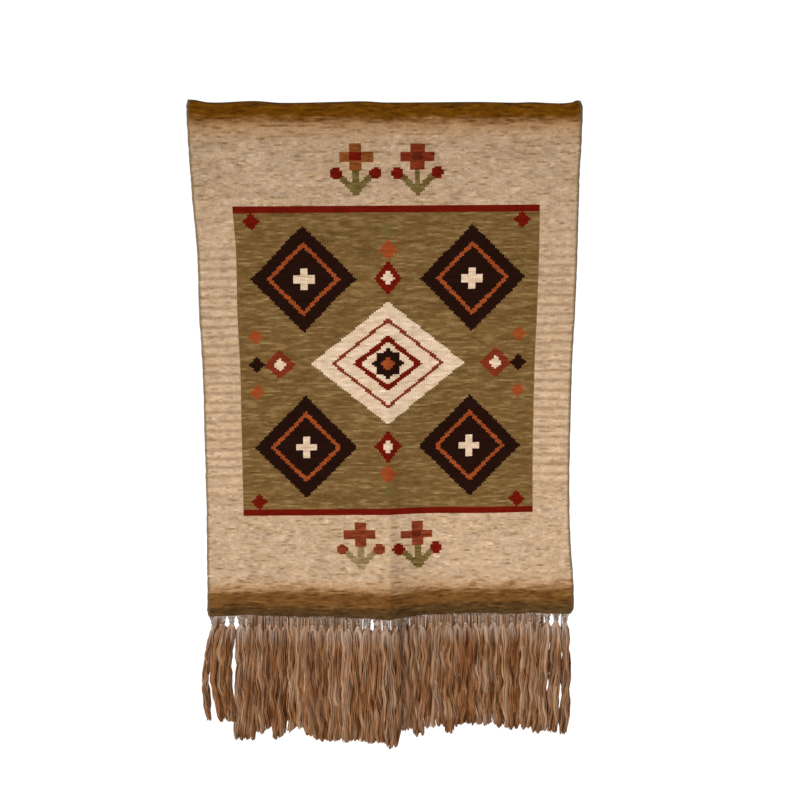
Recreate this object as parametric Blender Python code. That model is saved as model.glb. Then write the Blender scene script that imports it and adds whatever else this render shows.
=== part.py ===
"""Flat-woven wool wall hanging with a knotted fringe, in metres, +Z up, front towards -Y.

The origin is the middle of the top edge, on the cloth's back, where it meets the wall plane y = 0.
The cloth is one sheet with its hung outline, its centre crease and its shallow billows.
The fringe is one body: a strip under the cloth, from which pairs of warp ends meet in knots,
and each knot lets down three locks of yarn.
"""

import math

import bmesh
import bpy

MM = 0.001

# Driving sizes
CLOTH_WIDTH = 0.600
CLOTH_LENGTH = 0.807
CLOTH_THICKNESS = 0.003
TASSELS = 40
FRINGE_GAP = 0.0003

# How far the selvedges draw in, in mm: down from the top edge, left side, right side
SELVEDGES = (
    (0.0, 4.0, 5.0),
    (8.0, 1.5, 1.5),
    (42.0, 2.2, 2.0),
    (101.0, 4.2, 4.4),
    (160.0, 6.4, 5.0),
    (221.0, 10.0, 5.4),
    (313.0, 9.4, 7.4),
    (360.0, 10.6, 9.4),
    (406.0, 11.6, 10.8),
    (534.0, 10.2, 11.6),
    (632.0, 9.0, 10.2),
    (698.0, 7.0, 6.5),
    (740.0, 6.2, 2.4),
    (773.0, 5.2, 0.2),
    (800.0, 4.2, 0.0),
    (807.0, 6.2, 5.0),
)
DOWN, LEFT_INSET, RIGHT_INSET = range(3)

# The top edge between its fixings, in mm: across from the middle, rise
TOP_EDGE = (
    (-300.0, 5.4),
    (-288.0, 4.4),
    (-272.0, 1.4),
    (-250.0, 0.8),
    (-200.0, 2.8),
    (-158.0, 0.0),
    (-80.0, 0.9),
    (-33.0, 1.8),
    (0.0, 0.0),
    (66.0, 0.0),
    (145.0, 0.2),
    (200.0, -1.0),
    (224.0, -0.4),
    (268.0, -2.2),
    (286.0, -0.9),
    (294.0, 1.9),
    (300.0, 1.5),
)
ACROSS, RISE = range(2)
TOP_EDGE_FADE = 0.055

# How far the lower edge sags below the cloth's length, in mm: across from the middle, drop
LOWER_EDGE = (
    (-300.0, -1.0),
    (-245.0, -1.6),
    (-196.0, -1.2),
    (-147.0, 1.0),
    (-98.0, 1.6),
    (-40.0, 3.4),
    (0.0, 4.0),
    (40.0, 2.0),
    (98.0, 1.4),
    (196.0, 1.6),
    (245.0, 3.0),
    (300.0, 4.6),
)
DROP = 1
LOWER_EDGE_FADE = 0.090

# The centre crease, a slight valley at the top and a ridge further down, in mm: down, how far it stands proud
CREASE = (
    (0.0, 0.0),
    (60.0, -1.2),
    (150.0, -1.8),
    (240.0, 0.0),
    (330.0, 3.0),
    (520.0, 6.0),
    (660.0, 9.0),
    (760.0, 14.0),
    (807.0, 18.0),
)
PROUD = 1
CREASE_PLACE = 0.001
CREASE_LEFT_FLANK = 0.190
CREASE_RIGHT_FLANK = 0.072

# Shallow billows and a soft slanting fold, in mm: across, down, half width, half height,
# lean across for each mm down, how far each stands proud
BILLOWS = (
    (-235.0, 330.0, 95.0, 210.0, 0.0, 3.5),
    (190.0, 240.0, 90.0, 190.0, 0.0, 2.6),
    (-120.0, 640.0, 80.0, 150.0, 0.0, 2.4),
    (165.0, 690.0, 62.0, 170.0, 0.0, 4.5),
    (296.0, 480.0, 45.0, 260.0, 0.0, 4.0),
    (-297.0, 60.0, 22.0, 70.0, 0.0, 3.0),
    (294.0, 70.0, 26.0, 80.0, 0.0, 2.5),
    (-52.0, 535.0, 17.0, 75.0, -0.26, 1.7),
)
TOP_OFF = 0.0022
TOP_OFF_REACH = 0.100
HANG_OFF = 0.0028
HANG_OFF_FROM = 0.120

# Grid of the cloth's solid
CLOTH_COLUMNS = 36
COLUMN_CROWDING = 1.25
TOP_ROWS = (0.0, 0.004, 0.010, 0.020, 0.036)
MIDDLE_ROWS = 22
HEM_ROWS = (0.034, 0.020, 0.009, 0.003, 0.0)

# Fringe sizes
STRIP_HEIGHT = 0.0030
STRIP_DEPTH = 0.0020
STRIP_INSET = 0.0062
STRAND_WIDTH = 0.0015
STRAND_SPREAD = 0.0038
KNOT_DROP = 0.0115
KNOT_WIDTH = 0.0062
KNOT_BULGE = 0.0046
KNOT_HEIGHT = 0.0064
LOCK_ROOT_WIDTH = 0.0012
LOCK_ROOT_GAP = 0.0006
LOCK_DEPTH = 0.0021
LAYER_PITCH = 0.0026
LANE_GAP = 0.0006
LOCK_OVERLAP = 0.0016
FRONT_LOCK_SHARE = 0.50
TIP_SHARE = 0.34
LEFT_END_SWING = -0.018
RIGHT_END_SWING = 0.003
END_SWING_REACH = 0.045

# How the yarn below the knots wanders: amplitude, wavelength across / 2 pi, start, turn over its length
WANDER = (
    (0.0034, 0.0175, 0.6, 1.9),
    (0.0020, 0.0090, 2.1, -3.4),
)
LOCK_WOBBLE = 0.00025
WIDTH_UNEVENNESS = 0.06

# The hem line of the fringe, in mm: across, length from the strip to the tips
FRINGE_LENGTHS = (
    (-300.0, 180.0),
    (-268.0, 183.0),
    (-252.0, 210.0),
    (-205.0, 208.0),
    (-150.0, 204.0),
    (-100.0, 212.0),
    (-40.0, 211.0),
    (0.0, 215.0),
    (28.0, 200.0),
    (62.0, 203.0),
    (120.0, 194.0),
    (185.0, 198.0),
    (235.0, 204.0),
    (300.0, 206.0),
)
LENGTH = 1
LENGTH_UNEVENNESS = 0.007

# A lock's neck, just below the knot, with its place and its size as shares of those at the root
NECK_DROP = 0.007
NECK_SPREAD = 1.35
NECK_WIDTH = 1.25
NECK_LAYER = 0.6
NECK_DEPTH = 0.7

# A lock's sections below the neck: share of its length, share of its full width
LOCK_SECTIONS = (
    (0.15, 0.82),
    (0.36, 1.00),
    (0.58, 0.96),
    (0.80, 0.84),
    (1.00, TIP_SHARE),
)

# Linear colour, roughness
CLOTH_COLOUR = (0.47, 0.32, 0.19, 1.0)
FRINGE_COLOUR = (0.20, 0.10, 0.05, 1.0)
WOOL_ROUGHNESS = 0.9


def read(table, column, at):
    """The value of a table's column at a place in its first column, on a smooth curve through its rows."""
    if at <= table[0][0]:
        return table[0][column]
    if at >= table[-1][0]:
        return table[-1][column]
    i = next(k for k in range(len(table) - 1) if at <= table[k + 1][0])
    low, high = table[i], table[i + 1]
    before, after = table[max(i - 1, 0)], table[min(i + 2, len(table) - 1)]
    span = high[0] - low[0]
    t = (at - low[0]) / span
    start = (high[column] - before[column]) / (high[0] - before[0]) * span
    end = (after[column] - low[column]) / (after[0] - low[0]) * span
    return (
        (2 * t**3 - 3 * t**2 + 1) * low[column]
        + (t**3 - 2 * t**2 + t) * start
        + (3 * t**2 - 2 * t**3) * high[column]
        + (t**3 - t**2) * end
    )


def ease(t):
    """A smooth step from 0 to 1."""
    t = min(max(t, 0.0), 1.0)
    return t * t * (3 - 2 * t)


def uneven(seed):
    """A repeatable number from -1 to 1 that looks random."""
    return 2 * math.modf(abs(math.sin(seed * 12.9898 + 4.1) * 43758.5453))[0] - 1


def crease_height(x, down):
    """The centre crease: a fold line with a long left flank and a short right one."""
    off = x - CREASE_PLACE
    flank = CREASE_LEFT_FLANK if off < 0 else CREASE_RIGHT_FLANK
    share = max(0.0, 1 - abs(off) / flank)
    return read(CREASE, PROUD, down / MM) * MM * share**2


def billow_height(x, down):
    """The sum of the shallow billows at a place."""
    total = 0.0
    for across, middle, half_width, half_height, lean, proud in BILLOWS:
        below = down / MM - middle
        u = (x / MM - across - lean * below) / half_width
        v = below / half_height
        total += proud * math.exp(-u * u - v * v)
    return total * MM


def stand_off(x, down):
    """How far the cloth's back stands off the wall."""
    hung = TOP_OFF * ease(down / TOP_OFF_REACH)
    hung += HANG_OFF * ease((down - HANG_OFF_FROM) / (CLOTH_LENGTH - HANG_OFF_FROM))
    billows = billow_height(x, down) * ease(down / TOP_EDGE_FADE)
    return hung + billows + crease_height(x, down)


def edge_drop(x):
    """How far the cloth's lower edge sags at a place."""
    return read(LOWER_EDGE, DROP, x / MM) * MM


def cloth_point(across, down):
    """A point of the cloth's back, from its place on the flat cloth: a share across, metres down."""
    left = -CLOTH_WIDTH / 2 + read(SELVEDGES, LEFT_INSET, down / MM) * MM
    right = CLOTH_WIDTH / 2 - read(SELVEDGES, RIGHT_INSET, down / MM) * MM
    x = left + (across + 0.5) * (right - left)
    top_share = max(0.0, 1 - down / TOP_EDGE_FADE) ** 2
    low_share = max(0.0, 1 - (CLOTH_LENGTH - down) / LOWER_EDGE_FADE) ** 2
    z = -down + read(TOP_EDGE, RISE, across * CLOTH_WIDTH / MM) * MM * top_share - edge_drop(x) * low_share
    return x, -stand_off(x, down), z


def cloth_columns():
    """Places across the cloth, closer together at the centre crease."""
    half = CLOTH_COLUMNS // 2
    steps = [k / half for k in range(-half, half + 1)]
    return [math.copysign(abs(s) ** COLUMN_CROWDING, s) / 2 for s in steps]


def cloth_rows():
    """Places down the cloth, closer together at both hems."""
    bottom = [CLOTH_LENGTH - up for up in HEM_ROWS]
    first, last = TOP_ROWS[-1], bottom[0]
    step = (last - first) / MIDDLE_ROWS
    middle = [first + step * k for k in range(1, MIDDLE_ROWS)]
    return [*TOP_ROWS, *middle, *bottom]


def sheet_faces(columns, rows):
    """Faces of a closed sheet whose back grid comes first and whose front grid follows it."""
    wide = columns + 1
    layer = wide * (rows + 1)
    faces = []
    for r in range(rows):
        for c in range(columns):
            a = r * wide + c
            faces.append((a, a + wide, a + wide + 1, a + 1))
            faces.append(tuple(layer + k for k in (a, a + 1, a + wide + 1, a + wide)))
    rim = [c for c in range(columns)]
    rim += [columns + r * wide for r in range(rows)]
    rim += [rows * wide + c for c in range(columns, 0, -1)]
    rim += [r * wide for r in range(rows, 0, -1)]
    for a, b in zip(rim, rim[1:] + rim[:1]):
        faces.append((a, b, layer + b, layer + a))
    return faces


def part_object(name, points, faces, colour, parent):
    """A named object with one wool material, whose faces point outwards."""
    mesh = bpy.data.meshes.new(name)
    mesh.from_pydata(points, [], faces)
    shape = bmesh.new()
    shape.from_mesh(mesh)
    bmesh.ops.recalc_face_normals(shape, faces=shape.faces)
    shape.to_mesh(mesh)
    shape.free()
    mesh.shade_smooth()
    mesh.set_sharp_from_angle(angle=math.radians(50))
    material = bpy.data.materials.new(name + "_wool")
    material.use_nodes = True
    shader = material.node_tree.nodes["Principled BSDF"]
    shader.inputs["Base Color"].default_value = colour
    shader.inputs["Roughness"].default_value = WOOL_ROUGHNESS
    shader.inputs["Metallic"].default_value = 0.0
    mesh.materials.append(material)
    made = bpy.data.objects.new(name, mesh)
    bpy.context.scene.collection.objects.link(made)
    made.parent = parent
    return made


def make_cloth(parent):
    """The woven cloth: one sheet of even thickness over the hung surface."""
    columns, rows = cloth_columns(), cloth_rows()
    back = [cloth_point(across, down) for down in rows for across in columns]
    front = [(x, y - CLOTH_THICKNESS, z) for x, y, z in back]
    faces = sheet_faces(len(columns) - 1, len(rows) - 1)
    return part_object("woven_cloth", back + front, faces, CLOTH_COLOUR, parent)


class FringeMesh:
    """The fringe's points and faces, in its object's own frame: z = 0 is the strip's top, less its sag."""

    def __init__(self):
        self.points = []
        self.faces = []

    def ring(self, corners):
        """Adds points and returns their numbers."""
        first = len(self.points)
        self.points.extend(corners)
        return list(range(first, len(self.points)))

    def section(self, x, y, z, width, depth):
        """Adds the four corners of a level rectangle: front left, front right, back right, back left."""
        w, d = width / 2, depth / 2
        corners = [(x - w, y - d, z), (x + w, y - d, z), (x + w, y + d, z), (x - w, y + d, z)]
        return self.ring(corners)

    def join(self, upper, lower):
        """Side faces between two rings of as many points."""
        for k in range(len(upper)):
            n = (k + 1) % len(upper)
            self.faces.append((upper[k], upper[n], lower[n], lower[k]))


def strip_depth_place(x):
    """The middle of the strip's depth, which follows the cloth's lower edge."""
    return -stand_off(x, CLOTH_LENGTH) - CLOTH_THICKNESS / 2


def tassel_places():
    """The middle of each tassel across the hanging."""
    start = -CLOTH_WIDTH / 2 + STRIP_INSET
    pitch = (CLOTH_WIDTH - 2 * STRIP_INSET) / TASSELS
    return [start + pitch * (k + 0.5) for k in range(TASSELS)], pitch


def drift(x, share):
    """How far the yarn hanging from x has swung sideways at a share of its length."""
    waves = sum(a * math.sin(x / b + start + turn * share) for a, b, start, turn in WANDER)
    left_end = LEFT_END_SWING * math.exp(-(x + CLOTH_WIDTH / 2) / END_SWING_REACH)
    right_end = RIGHT_END_SWING * math.exp((x - CLOTH_WIDTH / 2) / END_SWING_REACH)
    ends = (left_end + right_end) * ease(share * 3) * (1 - 0.2 * share * share)
    return waves * share**0.8 + ends


def lock_lanes(centre, pitch, number):
    """The lanes of a tassel's three locks: root place, left side, right side, layer.

    Every other tassel hangs one layer nearer the front, so that neighbours overlap and stay apart.
    """
    root = LOCK_ROOT_WIDTH + LOCK_ROOT_GAP
    reach = pitch / 2 + LOCK_OVERLAP
    front_half = pitch * FRONT_LOCK_SHARE / 2
    nearer = number % 2
    return (
        (-root, centre - reach, centre, 1.5 - nearer),
        (0.0, centre - front_half, centre + front_half, -0.5 - nearer),
        (root, centre, centre + reach, 1.5 - nearer),
    )


def add_lock(mesh, root_ring, centre, lane, length, seed):
    """Runs one lock down its lane from its root on the knot's underside to its closed tip."""
    root_place, lane_left, lane_right, layer = lane
    knot_end = -STRIP_HEIGHT - KNOT_DROP - KNOT_HEIGHT - edge_drop(centre)
    y_middle = strip_depth_place(centre)
    neck = mesh.section(
        centre + root_place * NECK_SPREAD,
        y_middle + layer * LAYER_PITCH * NECK_LAYER,
        knot_end - NECK_DROP,
        LOCK_ROOT_WIDTH * NECK_WIDTH,
        LOCK_DEPTH * NECK_DEPTH,
    )
    mesh.join(root_ring, neck)
    slim = 1 - WIDTH_UNEVENNESS * (1 - uneven(seed))
    above = neck
    for share, width_share in LOCK_SECTIONS:
        left = lane_left + drift(lane_left, share)
        right = lane_right + drift(lane_right, share)
        width = (right - left - LANE_GAP) * width_share * slim
        below = mesh.section(
            (left + right) / 2 + LOCK_WOBBLE * math.sin(seed + 7 * share),
            y_middle + layer * LAYER_PITCH,
            knot_end - length * share,
            width,
            LOCK_DEPTH * (1 + width_share) / 2,
        )
        mesh.join(above, below)
        above = below
    mesh.faces.append(tuple(above))


def knot_stations():
    """Places across a knot, left to right: its left side, both sides of each lock's root, its right side."""
    half = KNOT_WIDTH / 2
    step = LOCK_ROOT_WIDTH + LOCK_ROOT_GAP
    inner = LOCK_ROOT_WIDTH / 2
    middle = [k * step + side * inner for k in (-1, 0, 1) for side in (-1, 1)]
    return [-half, *middle, half]


def row_ring(mesh, centre, y, z, stations, depth):
    """A flat ring with a point at each station, front row and then back row."""
    front = mesh.ring([(centre + s, y - depth / 2, z) for s in stations])
    back = mesh.ring([(centre + s, y + depth / 2, z) for s in stations])
    return front, back


def add_tassel(mesh, centre, pitch, roots, number):
    """One tassel: two slanting strands, a knot and three locks. Roots are the strands' rings on the strip."""
    y = strip_depth_place(centre)
    stations = knot_stations()
    levels = (
        (-STRIP_HEIGHT - KNOT_DROP, STRIP_DEPTH),
        (-STRIP_HEIGHT - KNOT_DROP - KNOT_HEIGHT / 2, KNOT_BULGE),
        (-STRIP_HEIGHT - KNOT_DROP - KNOT_HEIGHT, STRIP_DEPTH),
    )
    drop = edge_drop(centre)
    rings = [row_ring(mesh, centre, y, z - drop, stations, depth) for z, depth in levels]
    for (front_a, back_a), (front_b, back_b) in zip(rings, rings[1:]):
        mesh.join(front_a + back_a[::-1], front_b + back_b[::-1])
    # Strands come in at the first and last lock stations, locks leave at all three
    strand_slots, lock_slots = (1, 5), (1, 3, 5)
    for slots, (front, back) in ((strand_slots, rings[0]), (lock_slots, rings[-1])):
        for k in range(len(stations) - 1):
            if k not in slots:
                mesh.faces.append((front[k], front[k + 1], back[k + 1], back[k]))
    for root, k in zip(roots, strand_slots):
        front, back = rings[0]
        mesh.join(root, [front[k], front[k + 1], back[k + 1], back[k]])
    length = read(FRINGE_LENGTHS, LENGTH, centre / MM) * MM - KNOT_DROP - KNOT_HEIGHT
    front, back = rings[-1]
    for slot, lane in zip(lock_slots, lock_lanes(centre, pitch, number)):
        seed = number * 3 + slot
        root = [front[slot], front[slot + 1], back[slot + 1], back[slot]]
        add_lock(mesh, root, centre, lane, length + LENGTH_UNEVENNESS * uneven(seed), seed)


def make_fringe(parent):
    """The fringe: its strip, and the tassels that hang from it."""
    mesh = FringeMesh()
    places, pitch = tassel_places()
    strand_places = [p + side * STRAND_SPREAD for p in places for side in (-1, 1)]
    half = STRAND_WIDTH / 2
    stations = [-CLOTH_WIDTH / 2 + STRIP_INSET]
    stations += [x + side * half for x in strand_places for side in (-1, 1)]
    stations += [CLOTH_WIDTH / 2 - STRIP_INSET]
    sections = []
    for x in stations:
        front, back = strip_depth_place(x) - STRIP_DEPTH / 2, strip_depth_place(x) + STRIP_DEPTH / 2
        top, low = -edge_drop(x), -edge_drop(x) - STRIP_HEIGHT
        sections.append(mesh.ring([(x, front, top), (x, back, top), (x, back, low), (x, front, low)]))
    mesh.faces.append(tuple(sections[0]))
    mesh.faces.append(tuple(sections[-1]))
    roots = []
    for k, (a, b) in enumerate(zip(sections, sections[1:])):
        mesh.faces.append((a[0], b[0], b[1], a[1]))
        mesh.faces.append((a[0], a[3], b[3], b[0]))
        mesh.faces.append((a[1], b[1], b[2], a[2]))
        if k % 2:
            roots.append([a[3], b[3], b[2], a[2]])
        else:
            mesh.faces.append((a[3], b[3], b[2], a[2]))
    for number, place in enumerate(places):
        add_tassel(mesh, place, pitch, roots[2 * number : 2 * number + 2], number)
    fringe = part_object("knotted_fringe", mesh.points, mesh.faces, FRINGE_COLOUR, parent)
    fringe.location.z = -CLOTH_LENGTH - FRINGE_GAP
    return fringe


def clear_scene():
    for old in list(bpy.data.objects):
        bpy.data.objects.remove(old)


def main():
    clear_scene()
    hanging = bpy.data.objects.new("wall_hanging", None)
    bpy.context.scene.collection.objects.link(hanging)
    make_cloth(hanging)
    make_fringe(hanging)


main()
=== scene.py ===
"""A hand-woven wool wall hanging with a knotted fringe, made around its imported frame.

The frame's axes are kept: +Z up the wall, +X to the right, the front towards -Y, the origin at the middle
of the top edge. Sizes are in metres unless a table says millimetres.
"""

import math

import bpy
import numpy as np
from bpy.props import FloatProperty, FloatVectorProperty, IntProperty, PointerProperty
from bpy.types import Operator, Panel, PropertyGroup
from mathutils import Matrix, Vector, noise


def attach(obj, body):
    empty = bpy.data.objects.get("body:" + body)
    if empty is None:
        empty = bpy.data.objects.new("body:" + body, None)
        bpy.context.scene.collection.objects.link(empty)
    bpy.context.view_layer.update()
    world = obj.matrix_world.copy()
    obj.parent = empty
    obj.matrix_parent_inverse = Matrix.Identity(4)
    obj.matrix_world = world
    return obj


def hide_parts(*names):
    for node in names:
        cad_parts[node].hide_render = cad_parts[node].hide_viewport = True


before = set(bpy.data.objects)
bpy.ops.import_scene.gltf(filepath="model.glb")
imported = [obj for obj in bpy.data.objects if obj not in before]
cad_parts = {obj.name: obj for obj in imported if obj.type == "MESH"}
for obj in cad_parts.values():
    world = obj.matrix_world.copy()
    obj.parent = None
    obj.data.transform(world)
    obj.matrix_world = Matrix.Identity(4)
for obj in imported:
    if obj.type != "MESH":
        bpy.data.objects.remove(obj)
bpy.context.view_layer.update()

bl_info = {
    "name": "Woven Wall Hanging",
    "version": (1, 0, 0),
    "blender": (4, 5, 0),
    "location": "View3D > Sidebar > Hanging",
    "description": "Weaves a wool wall hanging, ties its fringe and lights it",
    "category": "Object",
}

BODY = "root"
MM = 0.001
WHITE = (1, 1, 1, 1)

# How far the selvedges draw in, in mm: down from the top edge, left side, right side
SELVEDGES = (
    (0, 4, 5),
    (8, 1.5, 1.5),
    (42, 2.2, 2),
    (101, 4.2, 4.4),
    (160, 6.4, 5),
    (221, 10, 5.4),
    (313, 9.4, 7.4),
    (360, 10.6, 9.4),
    (406, 11.6, 10.8),
    (534, 10.2, 11.6),
    (632, 9, 10.2),
    (698, 7, 6.5),
    (740, 6.2, 2.4),
    (773, 5.2, 0.2),
    (800, 4.2, 0),
    (807, 6.2, 5),
)
LEFT_INSET, RIGHT_INSET = 1, 2

# The top edge between its fixings, in mm: across from the middle, rise
TOP_EDGE = (
    (-300, 5.4),
    (-288, 4.4),
    (-272, 1.4),
    (-250, 0.8),
    (-200, 2.8),
    (-158, 0),
    (-80, 0.9),
    (-33, 1.8),
    (0, 0),
    (66, 0),
    (145, 0.2),
    (200, -1),
    (224, -0.4),
    (268, -2.2),
    (286, -0.9),
    (294, 1.9),
    (300, 1.5),
)
RISE = 1

# How far the lower edge sags below the cloth's length, in mm: across from the middle, drop
LOWER_EDGE = (
    (-300, -1),
    (-245, -1.6),
    (-196, -1.2),
    (-147, 1),
    (-98, 1.6),
    (-40, 3.4),
    (0, 4),
    (40, 2),
    (98, 1.4),
    (196, 1.6),
    (245, 3),
    (300, 4.6),
)
DROP = 1

# The centre crease, a slight valley at the top and a ridge further down, in mm: down, how far it stands proud
CREASE = (
    (0, 0),
    (60, -1.2),
    (150, -1.8),
    (240, 0),
    (330, 3),
    (520, 6),
    (660, 9),
    (760, 14),
    (807, 18),
)
PROUD = 1

# Shallow billows and a soft slanting fold, in mm: across, down, half width, half height,
# lean across for each mm down, how far each stands proud
BILLOWS = (
    (-235, 330, 95, 210, 0, 3.5),
    (190, 240, 90, 190, 0, 2.6),
    (-120, 640, 80, 150, 0, 2.4),
    (165, 690, 62, 170, 0, 4.5),
    (296, 480, 45, 260, 0, 4),
    (-297, 60, 22, 70, 0, 3),
    (294, 70, 26, 80, 0, 2.5),
    (-52, 535, 17, 75, -0.26, 1.7),
)

# The tassels as they hang: number from the left, length below the cloth, sideways shift halfway down and
# at the tips, in mm, share of its yarns' usual spread, and how much loose wool fills the space by its knot
TASSELS = (
    (0, 180, -12, -7, 0.45, 0),
    (1, 181, -12, 3, 1.05, 0.15),
    (2, 183, -8.5, -8, 0.92, 0),
    (3, 214, 1.5, -12, 1.05, 0.1),
    (4, 217, -4, -8, 1.1, 0.25),
    (5, 206, -3, -6, 1.1, 0.8),
    (6, 194, -1, -3, 1, 0.8),
    (7, 213, 0, 1, 1.2, 0.7),
    (8, 204, 1, 0, 1, 0.7),
    (9, 195, -1, -1, 1, 0.7),
    (10, 207, -1, 1, 1.1, 0.8),
    (12, 215, 0, 0, 1.15, 0.8),
    (15, 212, 1, 0, 1.15, 0.6),
    (17, 216, -1, 0, 1.1, 0.08),
    (18, 213, -1, 0, 1, 0.05),
    (19, 217, 1, 1, 1.1, 0.35),
    (20, 222, 1, -5, 0.95, 0.3),
    (21, 196, 1, 2, 0.85, 0.4),
    (22, 197, 0, 0, 1, 0.7),
    (23, 209, -1, -1, 1.1, 0.7),
    (24, 198, 1, 0, 0.9, 0.7),
    (25, 197, 0, 0, 1, 0.8),
    (26, 205, -1, -1, 1.1, 0.8),
    (27, 194, 0, 0, 1.1, 0.8),
    (31, 193, 1, 0, 1.15, 0.8),
    (33, 202, 0, 0, 1.1, 0.8),
    (34, 197, -1, 0, 1.1, 0.8),
    (36, 206, -1, 0, 1, 0.15),
    (37, 207, -3, -1, 0.85, 0.1),
    (38, 209, 1, 0, 0.95, 0.1),
    (39, 210, 4, 3, 0.7, 0.1),
)
TASSEL_LENGTH, MID_SHIFT, TIP_SHIFT, BULK, FILL = 1, 2, 3, 4, 5

# The layers of yarn in a tassel, from the eye to the wall: piece, locks, how far it stands forward and
# half a lock's width in mm, the share of its length by which a lock has opened, how far the fill counts,
# how much painted shade darkens its wool (the front layer, below zero, is painted a little paler), seed
LAYERS = (
    ("tassels_front", 2, 2.6, 4, 0.07, 0, -0.04, 11),
    ("tassels_middle", 2, 0.2, 4.8, 0.05, 0.35, 0.03, 37),
    ("tassels_back", 3, -2.2, 4.4, 0.04, 1, 0.08, 53),
)


class Value:
    """A number inside a node tree, so that a formula there reads as one."""

    def __init__(self, tree, socket):
        self.tree = tree
        self.socket = socket

    def math(self, operation, *others):
        node = self.tree.nodes.new("ShaderNodeMath")
        node.operation = operation
        for entry, value in zip(node.inputs, (self, *others)):
            plug(self.tree, entry, value)
        return Value(self.tree, node.outputs[0])

    def __add__(self, other):
        return self.math("ADD", other)

    __radd__ = __add__

    def __sub__(self, other):
        return self.math("SUBTRACT", other)

    def __rsub__(self, other):
        return (self * -1) + other

    def __mul__(self, other):
        return self.math("MULTIPLY", other)

    __rmul__ = __mul__

    def __truediv__(self, other):
        return self.math("DIVIDE", other)

    def __pow__(self, other):
        return self.math("POWER", other)

    def __lt__(self, other):
        return self.math("LESS_THAN", other)

    def __gt__(self, other):
        return self.math("GREATER_THAN", other)

    def __abs__(self):
        return self.math("ABSOLUTE")

    def sine(self):
        return self.math("SINE")

    def floor(self):
        return self.math("FLOOR")

    def fraction(self):
        return self.math("FRACT")

    def stepped(self, step):
        """The value at the middle of its step, as a weave draws a slope."""
        return (self / step).floor() * step + step / 2

    def ease(self, start, end):
        """A smooth rise from 0 at start to 1 at end."""
        node = self.tree.nodes.new("ShaderNodeMapRange")
        node.interpolation_type = "SMOOTHSTEP"
        plug(self.tree, node.inputs["Value"], self)
        plug(self.tree, node.inputs["From Min"], start)
        plug(self.tree, node.inputs["From Max"], end)
        return Value(self.tree, node.outputs["Result"])


def plug(tree, entry, value):
    """Feeds an input from a Value, a socket or a plain number or colour."""
    if isinstance(value, Value):
        tree.links.new(value.socket, entry)
    elif isinstance(value, bpy.types.NodeSocket):
        tree.links.new(value, entry)
    else:
        entry.default_value = value


def fill_in(node, **values):
    """Sets a node's inputs by name (an underscore stands for a blank)."""
    for label, value in values.items():
        node.inputs[label.replace("_", " ")].default_value = value


def vector(tree, x, y, z):
    """A vector socket from three values."""
    node = tree.nodes.new("ShaderNodeCombineXYZ")
    for entry, value in zip(node.inputs, (x, y, z)):
        plug(tree, entry, value)
    return node.outputs[0]


def parts_of(tree, socket):
    """The x, y and z of a vector socket."""
    node = tree.nodes.new("ShaderNodeSeparateXYZ")
    tree.links.new(socket, node.inputs[0])
    return [Value(tree, out) for out in node.outputs]


def cloud(tree, x, y, seed, detail=2, roughness=0.5):
    """Soft noise from 0 to 1 over two coordinates that are already in units of its grain."""
    node = tree.nodes.new("ShaderNodeTexNoise")
    node.noise_dimensions = "3D"
    plug(tree, node.inputs["Vector"], vector(tree, x, y, seed))
    fill_in(node, Scale=1, Detail=detail, Roughness=roughness)
    return Value(tree, node.outputs[0])


def mix(tree, share, first, second):
    """A colour socket between two colours."""
    node = tree.nodes.new("ShaderNodeMix")
    node.data_type = "RGBA"
    plug(tree, node.inputs[0], share)
    plug(tree, node.inputs[6], first)
    plug(tree, node.inputs[7], second)
    return node.outputs[2]


def vector_math(tree, operation, first, second=None):
    """A vector socket from an operation on one vector, and on a second one or a scale where it takes one."""
    node = tree.nodes.new("ShaderNodeVectorMath")
    node.operation = operation
    plug(tree, node.inputs[0], first)
    if second is not None:
        plug(tree, node.inputs["Scale" if operation == "SCALE" else 1], second)
    return node.outputs[0]


def shade(tree, colour, brightness):
    """A colour socket made darker or lighter by a factor."""
    return vector_math(tree, "SCALE", colour, brightness)


def rgba(colour):
    """A PropertyGroup's colour with an alpha of 1."""
    return (*colour, 1)


def linear(red, green, blue):
    """Scene-linear colour from the 0 to 255 values that a screen shows."""
    values = (red / 255, green / 255, blue / 255)
    return tuple(v / 12.92 if v <= 0.04045 else ((v + 0.055) / 1.055) ** 2.4 for v in values)


def dye(name, description, *screen):
    """A colour property, its default given as a screen shows it."""
    kind = {"subtype": "COLOR", "size": 3, "min": 0, "max": 1}
    return FloatVectorProperty(name=name, description=description, default=linear(*screen), **kind)


def metres(name, description, default):
    """A length property."""
    kind = {"min": 0, "unit": "LENGTH", "precision": 4}
    return FloatProperty(name=name, description=description, default=default, **kind)


def degrees(name, description, default):
    """An angle property."""
    return FloatProperty(name=name, description=description, default=math.radians(default), unit="ROTATION")


class ClothSettings(PropertyGroup):
    """The woven cloth's sizes."""

    width: metres("Width", "Width of the cloth on the loom", 0.600)
    length: metres("Length", "Length of the cloth at its middle, less its sag", 0.807)
    thickness: metres("Thickness", "Thickness of the wool cloth", 0.003)
    warps: IntProperty(name="Warps", description="Warp ends across the width", default=160, min=20)
    rows: IntProperty(name="Rows", description="Rows of mesh down the cloth", default=130, min=20)
    rib: metres("Rib", "Depth of the groove between two warps", 0.00010)
    cockle: metres("Cockle", "Small unevenness of hand-beaten wool", 0.0008)
    weft: metres("Weft", "Height of one weft pass", 0.00125)
    panel_top: metres("Panel top", "From the top edge to the upper red line", 0.1527)
    panel_bottom: metres("Panel bottom", "From the top edge to the foot of the lower red line", 0.6379)
    panel_width: metres("Panel width", "Width of the panel on the loom", 0.478)
    line: metres("Line", "Height of the red lines", 0.0103)


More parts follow.
